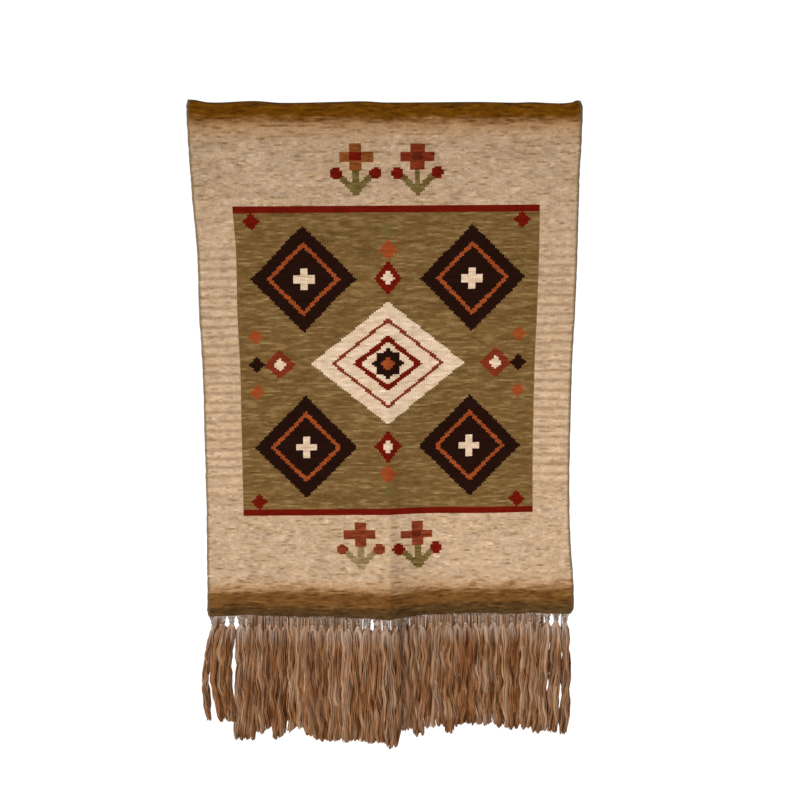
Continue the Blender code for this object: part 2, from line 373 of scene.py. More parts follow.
class WoolColours(PropertyGroup):
    """The dyed wools."""

    cream: dye("Cream", "Undyed ground", 206, 175, 142)
    fleck: dye("Fleck", "Dark fibres in the ground", 132, 102, 74)
    olive: dye("Olive", "Panel ground", 119, 89, 49)
    olive_light: dye("Light olive", "Lighter wefts in the panel", 138, 110, 68)
    olive_dark: dye("Dark olive", "Darker wefts in the panel", 98, 72, 36)
    red: dye("Red", "Lines and buds", 106, 18, 5)
    brick: dye("Brick", "Blossoms", 122, 46, 24)
    orange: dye("Orange", "Small motifs", 150, 70, 32)
    rust: dye("Rust", "One blossom", 134, 74, 34)
    russet: dye("Russet", "Lower blossoms", 127, 55, 30)
    umber: dye("Umber", "Hearts of the blossoms", 98, 36, 18)
    dark: dye("Dark", "Dark motifs", 34, 14, 8)
    green: dye("Green", "Stems", 112, 93, 50)
    sage: dye("Sage", "Faded stems", 142, 119, 82)
    ivory: dye("Ivory", "Light motifs", 222, 194, 164)
    ochre: dye("Ochre", "Upper end band", 107, 63, 5)
    tan: dye("Tan", "Lower end band", 113, 75, 36)
    amber: dye("Amber", "Ground stained by the end bands", 170, 118, 62)
    moss: dye("Moss", "Outermost wefts of the end bands", 82, 58, 30)
    selvedge: dye("Selvedge", "Rubbed wool at the selvedges", 96, 84, 62)
    warp: dye("Warp", "Warp ends", 188, 168, 152)
    tassel: dye("Tassel", "Fringe wool", 146, 100, 63)
    tassel_dark_and_shade: dye("Tassel dark", "Darker fringe wool", 92, 53, 23)
    tassel_light: dye("Tassel light", "Paler fringe wool", 180, 145, 114)
    # darker fringe wool, and also the painted shade at the locks' sides and in the layers further back
    tassel_grey: dye("Tassel grey", "Greyer fringe wool", 156, 124, 102)
    tassel_rust: dye("Tassel rust", "Redder fringe wool", 132, 76, 42)
    # painted highlight: the pale wool below the knots stands in for light catching the tassels' shoulders
    tassel_root_highlight: dye("Tassel root", "Wool rubbed pale below the knots", 198, 178, 162)


class FringeSettings(PropertyGroup):
    """The fringe's sizes."""

    tassels: IntProperty(name="Tassels", description="Knotted tassels along the edge", default=40, min=2)
    inset: metres("Inset", "From the selvedge to the fringe's end", 0.0062)
    warps: IntProperty(name="Warps", description="Twisted warp ends that meet in each knot", default=8, min=2)
    warp_radius: metres("Warp radius", "Radius of a warp end", 0.00085)
    knot_drop: metres("Knot drop", "From the cloth to the middle of the knots", 0.0180)
    knot_loop: metres("Knot loop", "Radius of the loops in a knot", 0.0012)
    knot_yarn: metres("Knot yarn", "Radius of the yarn in a knot", 0.0015)
    yarn: metres("Yarn", "Radius of a tassel's yarn", 0.00125)
    yarns: IntProperty(name="Yarns", description="Yarns in each layer of a tassel", default=33, min=2)
    sections: IntProperty(name="Sections", description="Points along each yarn", default=23, min=4)
    lock_depth: metres("Lock depth", "Half depth of a lock of yarn", 0.0026)


class StageSettings(PropertyGroup):
    """Camera, light and floor."""

    lens: FloatProperty(name="Lens", description="Focal length in mm on a 36 mm sensor", default=46.4)
    camera: FloatVectorProperty(
        name="Camera", description="Camera place", subtype="TRANSLATION", default=(-0.0266, -1.6067, -0.1884)
    )
    pitch: degrees("Pitch", "Angle looking down", 9.41)
    yaw: degrees("Yaw", "Angle to the right", 1.62)
    roll: degrees("Roll", "Tilt of the horizon", -0.40)
    floor_drop: metres("Floor", "From the top edge down to the floor", 1.9)
    daylight: FloatProperty(name="Daylight", description="Strength of the soft light around", default=0.54)
    key: FloatProperty(name="Key", description="Strength of the broad light from the left", default=2.3)


def along(table, column, at):
    """A table's column at places in its first column, on a smooth curve through its rows."""
    rows = np.array(table)
    xs, ys = rows[:, 0], rows[:, column]
    ahead, behind = np.append(np.arange(1, len(xs)), len(xs) - 1), np.append(0, np.arange(len(xs) - 1))
    slopes = (ys[ahead] - ys[behind]) / (xs[ahead] - xs[behind])
    at = np.clip(at, xs[0], xs[-1])
    i = np.clip(np.searchsorted(xs, at) - 1, 0, len(xs) - 2)
    span = xs[i + 1] - xs[i]
    t = (at - xs[i]) / span
    return (
        (2 * t**3 - 3 * t**2 + 1) * ys[i]
        + (t**3 - 2 * t**2 + t) * slopes[i] * span
        + (3 * t**2 - 2 * t**3) * ys[i + 1]
        + (t**3 - t**2) * slopes[i + 1] * span
    )


def ease(t):
    """A smooth step from 0 to 1."""
    t = np.clip(t, 0, 1)
    return t * t * (3 - 2 * t)


def stand_off(cloth, x, down):
    """How far the cloth's back stands off the wall: its hang, its billows and its centre crease."""
    crease_place, left_flank, right_flank = 0.001, 0.190, 0.072
    off = x - crease_place
    flank = np.where(off < 0, left_flank, right_flank)
    crease = along(CREASE, PROUD, down / MM) * MM * np.maximum(0, 1 - np.abs(off) / flank) ** 2
    billows = 0
    for across, middle, half_width, half_height, lean, proud in BILLOWS:
        below = down / MM - middle
        u = (x / MM - across - lean * below) / half_width
        billows = billows + proud * MM * np.exp(-u * u - (below / half_height) ** 2)
    top_off, top_reach = 0.0022, 0.100
    hang_off, hang_from, top_fade = 0.0028, 0.120, 0.055
    hung = top_off * ease(down / top_reach) + hang_off * ease((down - hang_from) / (cloth.length - hang_from))
    return hung + billows * ease(down / top_fade) + crease


def edge_drop(x):
    """How far the cloth's lower edge sags at a place."""
    return along(LOWER_EDGE, DROP, x / MM) * MM


def hung_point(cloth, across, down):
    """The cloth's back, from a place on the flat cloth: across as a share of the width, down in metres."""
    left = -cloth.width / 2 + along(SELVEDGES, LEFT_INSET, down / MM) * MM
    right = cloth.width / 2 - along(SELVEDGES, RIGHT_INSET, down / MM) * MM
    x = left + (across + 0.5) * (right - left)
    top_fade, low_fade = 0.055, 0.090
    top_share = np.maximum(0, 1 - down / top_fade) ** 2
    low_share = np.maximum(0, 1 - (cloth.length - down) / low_fade) ** 2
    rise = along(TOP_EDGE, RISE, across * cloth.width / MM) * MM
    return x, -stand_off(cloth, x, down), -down + rise * top_share - edge_drop(x) * low_share


def plain_mesh(name, points, faces):
    """A mesh from numpy arrays of points and of four-sided faces."""
    mesh = bpy.data.meshes.new(name)
    mesh.vertices.add(len(points))
    mesh.vertices.foreach_set("co", points.astype(np.float32).ravel())
    mesh.loops.add(faces.size)
    mesh.loops.foreach_set("vertex_index", faces.astype(np.int32).ravel())
    mesh.polygons.add(len(faces))
    mesh.polygons.foreach_set("loop_start", np.arange(0, faces.size, 4, dtype=np.int32))
    mesh.update(calc_edges=True)
    mesh.validate()
    return mesh


def add_object(name, mesh, material):
    made = bpy.data.objects.new(name, mesh)
    bpy.context.scene.collection.objects.link(made)
    mesh.materials.clear()
    mesh.materials.append(material)
    return made


def wool_shader(name, relief):
    """A new matt wool material, its tree, its shader, and the bump node that takes its relief."""
    material = bpy.data.materials.new(name)
    material.use_nodes = True
    tree = material.node_tree
    shader = tree.nodes["Principled BSDF"]
    fill_in(shader, Roughness=0.92, Specular_IOR_Level=0.02)
    fill_in(shader, Sheen_Weight=0.02, Sheen_Roughness=0.5, Sheen_Tint=(1, 0.9, 0.78, 1))
    bump = tree.nodes.new("ShaderNodeBump")
    fill_in(bump, Strength=1, Distance=relief)
    tree.links.new(bump.outputs[0], shader.inputs["Normal"])
    return material, tree, shader, bump


def attribute(tree, name):
    node = tree.nodes.new("ShaderNodeAttribute")
    node.attribute_name = name
    return node


def bar(x, down, half_width, top, bottom):
    """1 inside an upright rectangle that is centred on x = 0."""
    return (abs(x) < half_width) * (down > top) * (down < bottom)


def diamond(x, down, half_width, half_height):
    """1 inside a lozenge centred on both coordinates."""
    return (abs(x) / half_width + abs(down) / half_height) < 1


def weave_sprig(tree, ground, place):
    """Lays one flower sprig of the margins over a ground colour.

    place holds the stepped coordinates from the sprig's top, in mm, and the wools of blossom, heart, buds
    and stems.
    """
    x, down, blossom, heart, buds, stems = place
    side = abs(x)
    stem = bar(x, down, 4.8, 36, 76.5)
    arms = (abs(side + down - 72) < 7) * (down > 44) * (down < 72)
    foot = bar(x, down, 7.5, 62, 73)
    green = stem.math("MAXIMUM", arms).math("MAXIMUM", foot)
    colour = mix(tree, green, ground, stems)
    bud = diamond(side - 31, down - 44, 13, 12.6) * bar(side - 31, down - 44, 9.6, -8.8, 8.8)
    colour = mix(tree, bud, colour, buds)
    upright = bar(x, down, 10, 0, 39)
    level = bar(x, down, 26.5, 13, 26.5)
    colour = mix(tree, upright.math("MAXIMUM", level), colour, blossom)
    return mix(tree, bar(x, down, 8, 13, 25), colour, heart)


def weave_panel(tree, ground, x, down, wools):
    """Lays the panel's stepped lozenges, stars and crosses over its ground. Coordinates are in mm."""
    side, height = abs(x), abs(down)
    corner_out, corner_up = 134, 132

    # Lozenges, mirrored to all four corners: across and down from the middle, half width, half height, wool
    corners_and_middle = (
        (corner_out, corner_up, 84, 82, "dark"),
        (corner_out, corner_up, 58, 57, "orange"),
        (corner_out, corner_up, 50, 49, "dark"),
        (0, 0, 124, 96, "ivory"),
        (0, 0, 92, 71, "brick"),
        (0, 0, 84, 65, "ivory"),
        (0, 0, 56, 44, "red"),
        (0, 0, 44, 34, "ivory"),
    )
    on_top = (
        (0, 0, 12, 12, "orange"),
        (0, 132, 22, 27, "red"),
        (0, 132, 10, 12, "ivory"),
        (0, 176, 15, 16, "orange"),
        (0, 205, 12, 12, "green"),
        (175, 0, 26, 24, "brick"),
        (175, 0, 11, 10, "ivory"),
        (212, 0, 13, 13, "dark"),
        (212, 44, 12, 12, "orange"),
        (212, 220, 14, 13, "red"),
    )

    def lay(lozenges, colour):
        for x_place, y_place, half_w, half_h, wool in lozenges:
            shape = diamond(side - x_place, height - y_place, half_w, half_h)
            colour = mix(tree, shape, colour, wools[wool])
        return colour

    colour = lay(corners_and_middle, ground)
    corner_x, corner_y = abs(side - corner_out), abs(height - corner_up)
    cross = bar(corner_x, corner_y, 6, -1, 17).math("MAXIMUM", bar(corner_x, corner_y, 17, -1, 6))
    colour = mix(tree, cross, colour, wools["ivory"])
    star = bar(side, height, 17, -1, 17).math("MAXIMUM", diamond(side, height, 26, 26))
    colour = mix(tree, star, colour, wools["dark"])
    return lay(on_top, colour)


def kilim_material(cloth, colours):
    """The weft-faced weave: bands, margins, sprigs, red lines and panel, in heathered wools."""
    material, tree, shader, bump = wool_shader("kilim_weave", relief=0.00035)
    wools = {name: rgba(getattr(colours, name)) for name in WoolColours.__annotations__}
    x, down, _ = parts_of(tree, attribute(tree, "cloth_place").outputs["Vector"])
    x, down = x / MM, down / MM
    warp_pitch, weft_pitch = cloth.width / MM / cloth.warps, cloth.weft / MM
    row = (down / weft_pitch).floor()
    warp = (x / warp_pitch).floor()

    # Edges of the drawing: whole warps and pairs of wefts, each a little off its place
    wander = (cloud(tree, x / 60, down / 40, 3) - 0.5) * 5
    tooth = (row * 0.5).fraction() * 1.6
    drawn_x = (x + tooth * 0.6 + wander * 0.4).stepped(warp_pitch)
    drawn_down = (down + wander).stepped(2 * weft_pitch)

    # Heather: wefts that bend a little, each with its own dashes, and cloudy patches
    bent = down + (cloud(tree, x / 85, down / 50, 7) - 0.5) * 9
    pair = (bent / (2.4 * weft_pitch)).floor()
    streak = cloud(tree, x / 30, pair * 1.23, 5, detail=2)
    fleck = cloud(tree, x / 12, pair * 1.61, 9, detail=1)
    fine = cloud(tree, x / 11, row * 1.3, 11, detail=1)
    broad = cloud(tree, x / 120, bent / 14, 1, detail=3)
    lump = cloud(tree, x / 24, down / 14, 13, detail=3)

    # Ground of the margins
    dash = streak.ease(0.42, 0.68) * fleck.ease(0.32, 0.60)
    colour = mix(tree, dash * 0.85, wools["cream"], wools["fleck"])
    colour = shade(tree, colour, 0.70 + lump * 0.60)
    side = abs(x)
    beat = (bent / 14.9).fraction()
    at_sides = (side > 238) * down.ease(180, 250) * down.ease(650, 560)
    stitch = abs(beat - 0.5).ease(0.30, 0.06) * (0.55 + fine.ease(0.34, 0.60) * 0.45) * at_sides
    colour = mix(tree, stitch * 0.55, colour, wools["fleck"])
    colour = mix(tree, down.ease(260, 50) * 0.09, colour, wools["ochre"])

    # Sprigs: across, down to the top of the blossom, wools of blossom, heart, buds and stems
    for place_x, place_down, *names in (
        (-46.5, 60.5, "rust", "red", "red", "green"),
        (49, 60, "brick", "umber", "red", "green"),
        (-47.5, 650, "russet", "russet", "russet", "sage"),
        (46, 651, "russet", "umber", "red", "green"),
    ):
        place = (drawn_x - place_x, drawn_down - place_down, *[wools[name] for name in names])
        colour = weave_sprig(tree, colour, place)

    # Panel
    top, bottom, line = cloth.panel_top / MM, cloth.panel_bottom / MM, cloth.line / MM
    middle = (top + bottom) / 2
    olive = mix(tree, streak.ease(0.44, 0.70), wools["olive"], wools["olive_light"])
    olive = mix(tree, fine.ease(0.46, 0.74) * 0.7, olive, wools["olive_dark"])
    olive = shade(tree, olive, 0.76 + broad * 0.48)
    panel = weave_panel(tree, olive, drawn_x, drawn_down - middle, wools)
    in_panel = bar(x + tooth * 0.5, down, cloth.panel_width / MM / 2, top, bottom)
    colour = mix(tree, in_panel, colour, panel)
    in_line = in_panel * (down < top + line).math("MAXIMUM", down > bottom - line)
    colour = mix(tree, in_line, colour, wools["red"])

    # End bands, feathered into the ground: distance from the edge, wool, where each layer starts and is full
    feather = (streak - 0.5) * 18 + (lump - 0.5) * 12
    for edge, wool, stain_start, wool_start, wool_full, moss_start, moss_full in (
        (down, "ochre", 70, 40, 17, 6, -3),
        (cloth.length / MM - down, "tan", 74, 54, 34, 24, 10),
    ):
        reach = edge + feather
        colour = mix(tree, reach.ease(stain_start, wool_full) * 0.72, colour, wools["amber"])
        colour = mix(tree, reach.ease(wool_start, wool_full), colour, wools[wool])
        colour = mix(tree, reach.ease(moss_start, moss_full), colour, wools["moss"])

    # Tone: every weft differs, darker ones are browner, painted shade darkens the top, painted light pales
    # the lower right, and painted shade between warps shows them as faint ribs
    heather = (streak - 0.5) * 1.7 + (fleck - 0.5) * 1.1 + (fine - 0.5) * 0.35 + (broad - 0.5) * 0.35
    heather = heather * (1 - in_panel * 0.5 - at_sides * 0.4)
    browner = vector(tree, 1, 1 + heather * 0.2, 1 + heather * 0.6)
    colour = vector_math(tree, "MULTIPLY", colour, browner)
    paler_sides = at_sides * (0.03 + down.ease(300, 480) * 0.05)
    # painted light: the lower right of the cloth, which faces the lamp more, is made up to 5% paler
    lit_corner = x.ease(-60, 160) * down.ease(480, 640) * 0.05
    # painted shade: the cloth is made darker towards the top, from 0.76 at the top edge to 0.88 from 330 mm
    # down
    tone = (0.76 + down.ease(0, 330) * 0.12 + paler_sides + lit_corner) * (1 + heather)
    rib = abs((x / warp_pitch).fraction() - 0.5) * 2
    # painted shade: a faint darkening in the grooves between warps
    colour = shade(tree, colour, tone * (1 - rib ** 4 * 0.03))

    # Selvedges are rubbed and grey
    worn = (cloth.width / MM / 2 - side + (fleck - 0.5) * 5).ease(6, 1.5) * (0.45 + fine * 0.6)
    colour = mix(tree, worn, colour, wools["selvedge"])
    tree.links.new(colour, shader.inputs["Base Color"])

    # Beads: each weft shows on every other warp
    turn = (down / (2 * weft_pitch) + warp * 0.5).fraction()
    bead = (1 - (abs(turn - 0.5) * 2) ** 3) * (1 - rib * rib * 0.7)
    fibre = cloud(tree, x / 1.6, down / 0.35, 21, detail=3, roughness=0.7)
    plug(tree, bump.inputs["Height"], bead + fibre * 0.7)
    return material


def weave_cloth(cloth, colours):
    """The cloth as one closed sheet on the solid's folds, ribbed along its warps."""
    columns, rows = 2 * cloth.warps, cloth.rows
    across = np.linspace(-0.5, 0.5, columns + 1)
    shares = np.linspace(0, 1, rows + 1)
    edge_pull, ragged_reach, cockle_fade = 0.35, 0.0009, 0.04
    down = cloth.length * (shares - edge_pull * np.sin(2 * math.pi * shares) / (2 * math.pi))
    u, d = np.meshgrid(across, down)
    x, y, z = hung_point(cloth, u, d)
    places = list(zip(x.ravel(), d.ravel()))
    cockle, ragged = [
        np.array([noise.noise(Vector((px * per_x, pd * per_d, seed))) for px, pd in places]).reshape(x.shape)
        for per_x, per_d, seed in ((26, 34, 0), (3, 300, 5))
    ]
    x = x + ragged * ragged_reach * (np.abs(u) * 2) ** 30
    y = np.minimum(y + cockle * cloth.cockle * ease(d / cockle_fade), 0)

    # Half the thickness at each point: full inside, thin at the four edges, less between two warps
    steps_in = np.minimum(np.arange(columns + 1), columns - np.arange(columns + 1))
    side_round = np.interp(steps_in, (0, 1, 2), (0.42, 0.88, 1))
    ends_in = np.minimum(down, cloth.length - down)
    end_round = np.interp(ends_in / MM, (0, 2.5, 6), (0.45, 0.9, 1))
    between_warps = 1 - (np.arange(columns + 1) % 2)
    half = cloth.thickness / 2 * np.minimum.outer(end_round, side_round) - cloth.rib * between_warps / 2
    middle = y - cloth.thickness / 2
    back = np.stack([x, middle + half, z], -1).reshape(-1, 3)
    front = np.stack([x, middle - half, z], -1).reshape(-1, 3)

    wide = columns + 1
    layer = wide * (rows + 1)
    corner = (np.arange(rows)[:, None] * wide + np.arange(columns)[None, :]).ravel()
    back_faces = np.stack([corner, corner + 1, corner + wide + 1, corner + wide], -1)
    front_faces = layer + back_faces[:, ::-1]
    rim = np.concatenate(
        [
            np.arange(columns),
            columns + np.arange(rows) * wide,
            rows * wide + np.arange(columns, 0, -1),
            np.arange(rows, 0, -1) * wide,
        ]
    )
    following = np.roll(rim, -1)
    rim_faces = np.stack([rim, layer + rim, layer + following, following], -1)
    faces = np.concatenate([back_faces, front_faces, rim_faces])
    mesh = plain_mesh("kilim_cloth", np.concatenate([back, front]), faces)

    flat_place = np.stack([u * cloth.width, d, np.zeros_like(d)], -1).reshape(-1, 3)
    place = mesh.attributes.new("cloth_place", "FLOAT_VECTOR", "POINT")
    place.data.foreach_set("vector", np.concatenate([flat_place, flat_place]).astype(np.float32).ravel())
    lay_out_for_bake(mesh, faces, u.ravel(), (d / cloth.length).ravel(), layer, len(rim_faces))
    mesh.shade_smooth()
    return add_object("kilim_cloth", mesh, kilim_material(cloth, colours))


def lay_out_for_bake(mesh, faces, u, v, layer, rim_count):
    """Lays the cloth's front, back and rim side by side, so that each thread gets its own place."""
    gap, rim_width = 0.006, 0.003
    island = 0.5 - 2 * gap
    across = np.concatenate([u, -u])
    centre = np.where(np.arange(2 * layer) < layer, 0.75, 0.25)
    up = gap + (1 - np.concatenate([v, v])) * (1 - 2 * gap)
    spots = np.stack([centre + across * island, up], -1)[faces]
    rim_faces = faces[-rim_count:]
    on_front = rim_faces >= layer
    flat = rim_faces % layer
    outward_x = np.sign(np.round(u[flat], 6)) * (np.abs(u[flat]) > 0.49999)
    outward_y = np.where(v[flat] > 0.99999, -1, 0) + np.where(v[flat] < 0.00001, 1, 0)
    push = np.where(on_front, 0, rim_width)
    rim_x = 0.25 - u[flat] * island - outward_x * push
    rim_y = gap + (1 - v[flat]) * (1 - 2 * gap) + outward_y * push
    spots[-rim_count:] = np.stack([rim_x, rim_y], -1)
    layer_map = mesh.uv_layers.new(name="OFBake")
    layer_map.data.foreach_set("uv", spots.astype(np.float32).ravel())


def guide(name, points, **numbers):
    """A mesh of loose points for a tree to build on, with named numbers or vectors on them."""
    mesh = bpy.data.meshes.new(name)
    mesh.from_pydata([tuple(p) for p in points], [], [])
    for label, values in numbers.items():
        values = np.array(values, np.float32)
        kind, slot = ("FLOAT_VECTOR", "vector") if values.ndim == 2 else ("FLOAT", "value")
        mesh.attributes.new(label, kind, "POINT").data.foreach_set(slot, values.ravel())
    made = bpy.data.objects.new(name, mesh)
    bpy.context.scene.collection.objects.link(made)
    return made


class Tree:
    """A Geometry Nodes tree with named inputs, built from the points of a guide."""

    def __init__(self, name, **inputs):
        self.group = bpy.data.node_groups.new(name, "GeometryNodeTree")
        face = self.group.interface
        face.new_socket("Geometry", in_out="OUTPUT", socket_type="NodeSocketGeometry")
        face.new_socket("Guide", in_out="INPUT", socket_type="NodeSocketGeometry")
        for label, value in inputs.items():
            kind = "NodeSocketInt" if isinstance(value, int) else "NodeSocketFloat"
            face.new_socket(label, in_out="INPUT", socket_type=kind)
        face.new_socket("Material", in_out="INPUT", socket_type="NodeSocketMaterial")
        self.inputs = inputs
        self.entry = self.group.nodes.new("NodeGroupInput")
        self.exit = self.group.nodes.new("NodeGroupOutput")

    def given(self, label):
        return Value(self.group, self.entry.outputs[label])

    def node(self, kind, settings=None, **entries):
        """A node with its settings, its inputs filled by name (an underscore stands for a blank)."""
        made = self.group.nodes.new("GeometryNode" + kind)
        for label, value in (settings or {}).items():
            setattr(made, label, value)
        for label, value in entries.items():
            plug(self.group, made.inputs[label.replace("_", " ")], value)
        return made

    def named(self, label, data_type="FLOAT"):
        """The number that the guide's points carry under a name."""
        made = self.node("InputNamedAttribute", {"data_type": data_type}, Name=label)
        return made.outputs[0] if data_type == "FLOAT_VECTOR" else Value(self.group, made.outputs[0])

    def random(self, low, high, seed, number):
        """A fixed random number for each value of number."""
        made = self.group.nodes.new("FunctionNodeRandomValue")
        made.data_type = "FLOAT"
        entries = [s for s in made.inputs if s.enabled]
        for entry, value in zip(entries, (low, high, number, seed)):
            plug(self.group, entry, value)
        return Value(self.group, next(s for s in made.outputs if s.enabled))

    def points(self):
        """The guide's points."""
        return self.node("MeshToPoints", Mesh=self.entry.outputs["Guide"], Radius=MM).outputs[0]

    def store(self, geometry, domain="POINT", **numbers):
        """Keeps numbers on a geometry under their names."""
        settings = {"data_type": "FLOAT", "domain": domain}
        for label, value in numbers.items():
            made = self.node("StoreNamedAttribute", settings, Geometry=geometry, Name=label)
            plug(self.group, next(s for s in made.inputs if s.name == "Value" and s.enabled), value)
            geometry = made.outputs[0]
        return geometry

    def move(self, geometry, x, y, z):
        """Puts each point of a geometry at a new place."""
        moved = self.node("SetPosition", Geometry=geometry, Position=vector(self.group, x, y, z))
        return moved.outputs[0]

    def finish(self, geometry):
        real = self.node("RealizeInstances", Geometry=geometry)
        dressed = self.node("SetMaterial", Geometry=real.outputs[0])
        self.group.links.new(self.entry.outputs["Material"], dressed.inputs["Material"])
        self.group.links.new(dressed.outputs[0], self.exit.inputs[0])

    def grow(self, name, points, material):
        """Runs the tree on a guide and returns its result as a plain mesh object."""
        modifier = points.modifiers.new(name, "NODES")
        modifier.node_group = self.group
        for item in self.group.interface.items_tree:
            if item.in_out == "INPUT" and item.name in self.inputs:
                modifier[item.identifier] = self.inputs[item.name]
            if item.in_out == "INPUT" and item.name == "Material":
                modifier[item.identifier] = material
        bpy.context.view_layer.update()
        seen = points.evaluated_get(bpy.context.evaluated_depsgraph_get())
        mesh = bpy.data.meshes.new_from_object(seen)
        mesh.name = name
        bpy.data.objects.remove(points)
        mesh.shade_smooth()
        return add_object(name, mesh, material)


def tube(tree, curve, radius, sides):
    """A closed tube along each curve."""
    ring = tree.node("CurvePrimitiveCircle", {"mode": "RADIUS"}, Resolution=sides)
    plug(tree.group, next(s for s in ring.inputs if s.name == "Radius" and s.enabled), 1)
    made = tree.node("CurveToMesh", Curve=curve, Profile_Curve=ring.outputs[0], Scale=radius, Fill_Caps=True)
    return made.outputs[0]


def lines_from(tree, points, sections):
    """A straight line hanging one metre down from every point, as real curves."""
    line = tree.node("CurvePrimitiveLine", {"mode": "POINTS"}, Start=(0, 0, 0), End=(0, 0, -1))
    parts = tree.node("ResampleCurve", Curve=line.outputs[0])
    plug(tree.group, next(s for s in parts.inputs if s.name == "Count"), sections)
    many = tree.node("InstanceOnPoints", Points=points, Instance=parts.outputs[0])
    return tree.node("RealizeInstances", Geometry=many.outputs[0]).outputs[0]


def knot_row(cloth, fringe):
    """The middle of each knot, and the pitch of the row."""
    row_width = cloth.width - 2 * fringe.inset
    pitch = row_width / fringe.tassels
    x = -row_width / 2 + pitch * (np.arange(fringe.tassels) + 0.5)
    y = -stand_off(cloth, x, np.full_like(x, cloth.length)) - cloth.thickness / 2
    uneven_reach = 0.003
    uneven = np.array([noise.noise(Vector((k * 0.9, 2, 0))) for k in range(len(x))]) * uneven_reach
    z = -cloth.length - edge_drop(x) - fringe.knot_drop + uneven
    return np.stack([x, y, z], -1), pitch


def wander_x(x, share):
    """Sideways wander of the fringe at a place across and a share of its length, as its solid has it."""
    slow = (x / 0.0175 + share * 1.9 + 0.6).sine() * 0.0034
    quick = (x / 0.0090 - share * 3.4 + 2.1).sine() * 0.0020
    return (slow + quick) * share**0.8


def yarn_tree(fringe, pitch, layer):
    """One layer of the tassels: every knot lets down wavy yarns that gather in locks."""
    _, locks, forward, width, opens_by, high_share, _, seed_number = layer
    numbers = {
        "Yarns": fringe.yarns,
        "Sections": fringe.sections,
        "Radius": fringe.yarn,
        "Pitch": pitch,
        "Forward": forward * MM,
        "Lock width": width * MM,
        "Lock depth": fringe.lock_depth,
        "Opens by": opens_by,
        "Seed": seed_number,
    }
    tree = Tree("tassel_yarns", **numbers)
    group = tree.group
    copies = tree.node("DuplicateElements", {"domain": "POINT"}, Geometry=tree.points())
    many = tree.given("Yarns") * tree.named("bulk")
    plug(group, copies.inputs["Amount"], many)
    index = Value(group, tree.node("InputIndex").outputs[0])
    turn = Value(group, copies.outputs["Duplicate Index"])
    lock = (turn / many * locks).floor().math("MINIMUM", locks - 1)
    seed = tree.given("Seed")
    ends = tree.store(
        copies.outputs[0],
        lock_place=(lock + 0.5) / locks - 0.5,
        lock_number=tree.named("number") * locks + lock,
        yarn_side=tree.random(-1, 1, seed, index),
        yarn_face=tree.random(-1, 1, seed + 1, index),
        yarn_short=tree.random(0, 1, seed + 2, index),
        yarn_own=tree.random(0, 1, seed + 3, index),
        yarn_high=tree.random(0, 1, seed + 9, index) < tree.named("fill") * high_share,
    )
    lines = lines_from(tree, ends, tree.given("Sections"))

    share = Value(group, tree.node("SplineParameter").outputs["Factor"])
    x, y, z = parts_of(group, tree.node("InputPosition").outputs[0])
    knot_z = z + share
    side, face, high, own = [tree.named("yarn_" + label) for label in ("side", "face", "high", "own")]
    of_lock = tree.named("lock_number")
    phase = tree.random(0, 6.28, seed + 4, of_lock)
    jitter = tree.random(-1, 1, seed + 5, of_lock)
    lift = tree.random(-1, 1, seed + 6, of_lock)
    size = tree.random(0.75, 1.2, seed + 7, of_lock)
    tone = tree.random(0, 1, seed + 8, of_lock)
    hue = tree.random(0, 1, seed + 10, of_lock)

    # Where the lock runs: it opens below the knot, follows the tassel's own swing and waves on its way
    opened = share.ease(-0.03, tree.given("Opens by")).math("MAXIMUM", high)
    bulk = tree.named("bulk")
    lane = x + (tree.named("lock_place") * tree.given("Pitch") * 1.05 + jitter * 0.0014) * opened * bulk
    mid, tip = tree.named("mid_shift"), tree.named("tip_shift")
    swing = mid * (share * (1 - share) * 4) + tip * share * share
    slow_reach, quick_reach, sway_reach, lift_reach = 0.0018, 0.0008, 0.0024, 0.0009
    slow_wave = (share * 16 + phase).sine() * share.ease(0, 0.3) * slow_reach
    quick_wave = (share * 34 + phase * 1.7 + side * 0.8).sine() * share.ease(0, 0.15) * quick_reach
    round_end = 1 - share.ease(0.84, 1.04) * 0.25
    strand_x = side * tree.given("Lock width") * size * bulk * (opened * 0.62 + 0.38) * round_end
    new_x = lane + wander_x(lane, share) + swing + slow_wave + quick_wave + strand_x

    # Its depth: yarns lie round the lock, so that its middle is nearest the eye
    around = (1 - side * side).math("SQRT")
    bulge = face * around * tree.given("Lock depth") * (opened * 0.7 + 0.3) * round_end
    sway = (share * 13 + phase * 2.3).sine() * share.ease(0, 0.3) * sway_reach
    new_y = y - tree.given("Forward") * opened + bulge + lift * share.ease(0, 0.2) * lift_reach + sway

    # Its length: the knot or the cloth at one end, a rounded and slightly ragged tip at the other
    ragged = tree.named("yarn_short") ** 3 * 0.030 + side * side * 0.026 + (1 - size) * 0.04
    start = high * (fringe.knot_drop - MM)
    new_z = knot_z + start * (1 - share) - share * tree.named("yarn_length") * (1 - ragged)
    yarns = tree.store(
        tree.move(lines, new_x, new_y, new_z),
        yarn_tone=tone * 0.90 + own * 0.10,
        yarn_hue=hue,
        yarn_side=side,
        # the fill yarns start a little further along, so the painted highlight below the knots is fainter on
        # them, as they lie in shade
        yarn_along=share + high * 0.06,
    )
    taper = (1 - share.ease(0.86, 1.02) * 0.5) * (0.8 + own * 0.4)
    tree.finish(tube(tree, yarns, tree.given("Radius") * taper, 3))
    return tree


